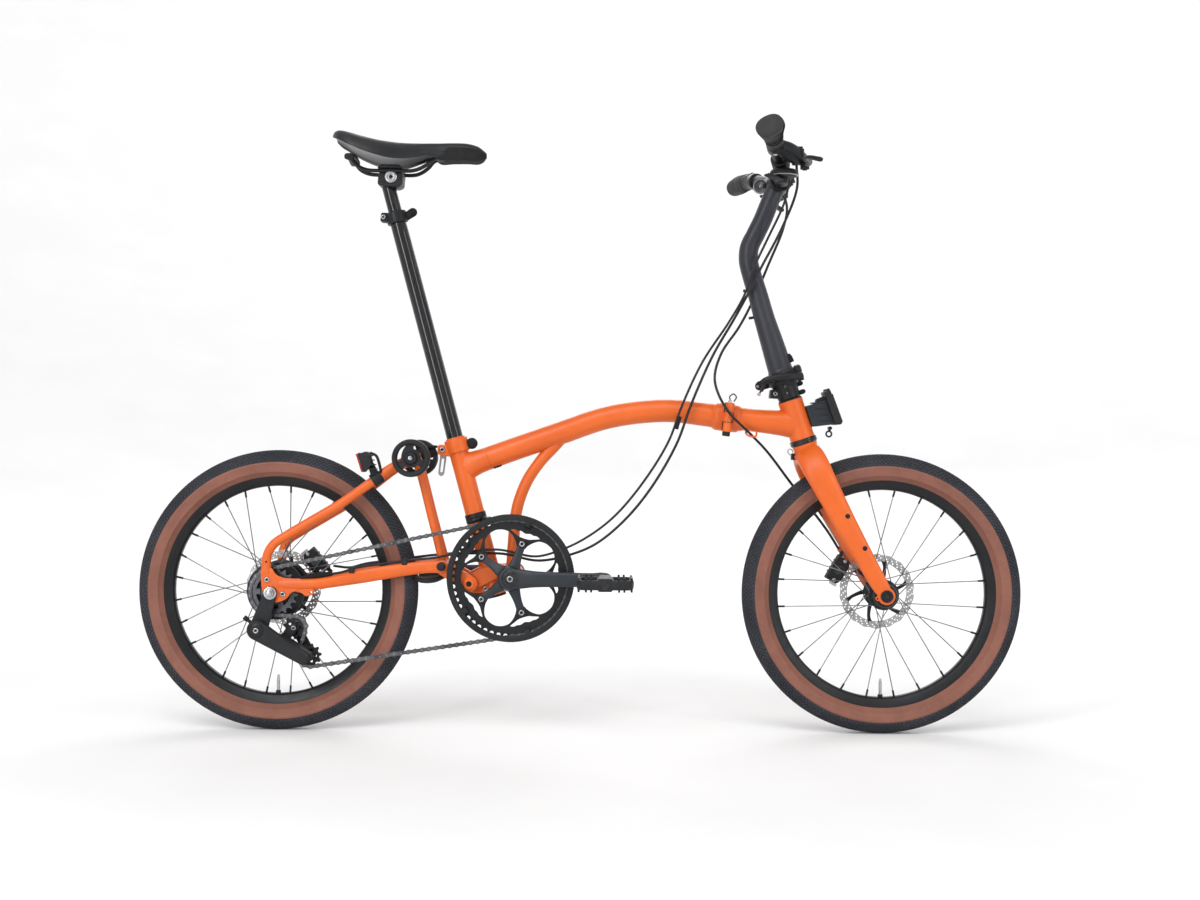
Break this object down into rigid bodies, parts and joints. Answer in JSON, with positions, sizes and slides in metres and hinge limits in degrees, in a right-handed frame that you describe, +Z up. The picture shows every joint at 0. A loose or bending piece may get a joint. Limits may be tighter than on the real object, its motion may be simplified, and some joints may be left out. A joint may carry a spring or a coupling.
{
  "type": "folding bicycle",
  "caption": "Folding bicycle with small wheels, hinged main tube, rear frame that folds under, folding stem, telescopic seat post, hub gear and disc brakes.",
  "frame": {"origin": "on the ground, half way between the two axles, in the bicycle's middle plane", "axes": "+X forward along the bicycle, +Y to the rider's left, +Z up"},
  "size_m": [1.618, 0.5898, 1.0905],
  "materials": {
    "orange_paint": "satin orange powder coat",
    "charcoal_paint": "satin charcoal anodised",
    "gloss_black": "gloss black",
    "satin_black": "satin black",
    "black_plastic": "fine-grained moulded plastic",
    "black_rubber": "matt rubber",
    "tyre": "tan sidewall with black knobbed tread",
    "steel": "polished steel",
    "chain_steel": "grey chain steel",
    "saddle": "matt synthetic cover"
  },
  "bodies": {
    "main_frame": {"main_frame": "orange_paint", "frame_hinge_pin": "satin_black", "seat_clamp": "orange_paint", "bottom_bracket": "satin_black", "chain": "chain_steel", "rear_brake_hose": "black_plastic", "gear_cable": "black_plastic", "front_brake_hose": "black_plastic"},
    "frame_hinge_lever": {"frame_hinge_lever": "satin_black"},
    "seat_clamp_lever": {"seat_clamp_lever": "steel"},
    "front_frame": {"front_frame": "orange_paint", "headset_lower": "satin_black", "carrier_block": "black_plastic"},
    "carrier_latch": {"carrier_latch": "black_plastic"},
    "fork": {"fork": "orange_paint", "stem_base": "satin_black", "front_axle": "satin_black", "front_caliper": "satin_black"},
    "stem_hinge_lever": {"stem_hinge_lever": "satin_black"},
    "stem": {"stem": "charcoal_paint", "handlebar": "satin_black", "grip_right": "black_rubber", "grip_left": "black_rubber", "lever_mount_right": "satin_black", "lever_mount_left": "satin_black", "shifter": "black_plastic", "bell": "steel"},
    "brake_lever_right": {"brake_lever_right": "satin_black"},
    "brake_lever_left": {"brake_lever_left": "satin_black"},
    "shift_lever": {"shift_lever": "black_plastic"},
    "front_wheel": {"front_tyre": "tyre", "front_rim": "gloss_black", "front_hub": "satin_black", "front_rotor": "steel"},
    "rear_frame": {"rear_frame": "orange_paint", "suspension_block": "black_rubber", "rear_caliper": "satin_black", "rear_light": "black_plastic", "rear_axle": "steel", "tensioner_hanger": "satin_black"},
    "rear_wheel": {"rear_tyre": "tyre", "rear_rim": "gloss_black", "rear_hub": "satin_black", "rear_rotor": "steel"},
    "sprocket": {"sprocket": "steel"},
    "roller_right": {"roller_right": "black_plastic"},
    "roller_left": {"roller_left": "black_plastic"},
    "tensioner_arm": {"tensioner_arm": "satin_black"},
    "jockey_upper": {"jockey_upper": "black_plastic"},
    "jockey_lower": {"jockey_lower": "black_plastic"},
    "crank": {"crankset": "charcoal_paint", "chainring": "satin_black", "left_crank": "charcoal_paint"},
    "pedal_right": {"pedal_right": "black_plastic"},
    "pedal_left": {"pedal_left": "black_plastic"},
    "seatpost_outer": {"seatpost_outer": "gloss_black", "seatpost_ring": "satin_black"},
    "seatpost_inner": {"seatpost_inner": "satin_black", "saddle_rails": "satin_black", "saddle": "saddle"}
  },
  "joints": [
    {"name": "frame_fold", "type": "hinge", "parent": "main_frame", "child": "front_frame", "pos_m": [0.267, -0.037, 0.577], "axis": [-0.1219, 0, -0.9925], "range_deg": [0, 130], "deforming": ["front_brake_hose", "rear_brake_hose", "gear_cable"]},
    {"name": "frame_lever_turn", "type": "hinge", "parent": "main_frame", "child": "frame_hinge_lever", "pos_m": [0.2531, 0.036, 0.57871], "axis": [0.1219, 0, 0.9925], "range_deg": [0, 140]},
    {"name": "seat_lever_turn", "type": "hinge", "parent": "main_frame", "child": "seat_clamp_lever", "pos_m": [-0.2536, 0.022, 0.5145], "axis": [1, 0, 0], "range_deg": [0, 110]},
    {"name": "latch_turn", "type": "hinge", "parent": "front_frame", "child": "carrier_latch", "pos_m": [0.457, 0, 0.559], "axis": [0, 1, 0], "range_deg": [0, 40], "stiffness_Nm_per_rad": 0.05},
    {"name": "steering", "type": "hinge", "parent": "front_frame", "child": "fork", "pos_m": [0.3959, 0, 0.5734], "axis": [0.3173, 0, -0.9483], "range_deg": [-80, 80], "deforming": ["front_brake_hose"]},
    {"name": "stem_lever_turn", "type": "hinge", "parent": "fork", "child": "stem_hinge_lever", "pos_m": [0.39575, -0.02687, 0.65853], "axis": [-0.3173, 0, 0.9483], "range_deg": [0, 100]},
    {"name": "stem_fold", "type": "hinge", "parent": "fork", "child": "stem", "pos_m": [0.34009, 0.03182, 0.6399], "axis": [-0.6706, -0.7071, -0.2244], "range_deg": [0, 165], "deforming": ["front_brake_hose", "rear_brake_hose", "gear_cable"]},
    {"name": "brake_pull_right", "type": "hinge", "parent": "stem", "child": "brake_lever_right", "pos_m": [0.388, -0.146, 1.013], "axis": [0, 0, -1], "range_deg": [0, 18], "stiffness_Nm_per_rad": 1},
    {"name": "brake_pull_left", "type": "hinge", "parent": "stem", "child": "brake_lever_left", "pos_m": [0.388, 0.146, 1.013], "axis": [0, 0, 1], "range_deg": [0, 18], "stiffness_Nm_per_rad": 1},
    {"name": "shift_push", "type": "hinge", "parent": "stem", "child": "shift_lever", "pos_m": [0.352, -0.124, 0.992], "axis": [0, 0, 1], "range_deg": [0, 20], "stiffness_Nm_per_rad": 0.5},
    {"name": "front_wheel_spin", "type": "hinge", "parent": "fork", "child": "front_wheel", "pos_m": [0.553, 0, 0.256], "axis": [0, 1, 0], "continuous": true},
    {"name": "rear_fold", "type": "hinge", "parent": "main_frame", "child": "rear_frame", "pos_m": [-0.201, 0, 0.2715], "axis": [0, -1, 0], "range_deg": [0, 137], "deforming": ["chain", "rear_brake_hose", "gear_cable"]},
    {"name": "rear_wheel_spin", "type": "hinge", "parent": "rear_frame", "child": "rear_wheel", "pos_m": [-0.553, 0, 0.256], "axis": [0, 1, 0], "continuous": true},
    {"name": "sprocket_spin", "type": "hinge", "parent": "rear_frame", "child": "sprocket", "pos_m": [-0.553, 0, 0.256], "axis": [0, 1, 0], "continuous": true},
    {"name": "roller_right_spin", "type": "hinge", "parent": "rear_frame", "child": "roller_right", "pos_m": [-0.304, 0, 0.499], "axis": [0, 1, 0], "continuous": true},
    {"name": "roller_left_spin", "type": "hinge", "parent": "rear_frame", "child": "roller_left", "pos_m": [-0.304, 0, 0.499], "axis": [0, 1, 0], "continuous": true},
    {"name": "tensioner_swing", "type": "hinge", "parent": "rear_frame", "child": "tensioner_arm", "pos_m": [-0.574, 0, 0.191], "axis": [0, 1, 0], "range_deg": [-8, 35], "stiffness_Nm_per_rad": 5, "deforming": ["chain"]},
    {"name": "jockey_upper_spin", "type": "hinge", "parent": "tensioner_arm", "child": "jockey_upper", "pos_m": [-0.514, 0, 0.192], "axis": [0, 1, 0], "continuous": true},
    {"name": "jockey_lower_spin", "type": "hinge", "parent": "tensioner_arm", "child": "jockey_lower", "pos_m": [-0.4866, 0, 0.1415], "axis": [0, 1, 0], "continuous": true},
    {"name": "crank_spin", "type": "hinge", "parent": "main_frame", "child": "crank", "pos_m": [-0.1245, 0, 0.284], "axis": [0, 1, 0], "continuous": true, "deforming": ["chain"]},
    {"name": "pedal_right_spin", "type": "hinge", "parent": "crank", "child": "pedal_right", "pos_m": [0.0455, 0, 0.284], "axis": [0, 1, 0], "continuous": true},
    {"name": "pedal_left_spin", "type": "hinge", "parent": "crank", "child": "pedal_left", "pos_m": [-0.2945, 0, 0.284], "axis": [0, 1, 0], "continuous": true},
    {"name": "seatpost_slide", "type": "slide", "parent": "main_frame", "child": "seatpost_outer", "axis": [-0.2622, 0, 0.965], "range_m": [-0.34, 0.03]},
    {"name": "saddle_slide", "type": "slide", "parent": "seatpost_outer", "child": "seatpost_inner", "axis": [-0.2622, 0, 0.965], "range_m": [-0.03, 0.15]}
  ],
  "couplings": [
    {"joint": "sprocket_spin", "follows": "crank_spin", "ratio": 2.4762},
    {"joint": "jockey_upper_spin", "follows": "crank_spin", "ratio": -5.2},
    {"joint": "jockey_lower_spin", "follows": "crank_spin", "ratio": 5.2}
  ]
}
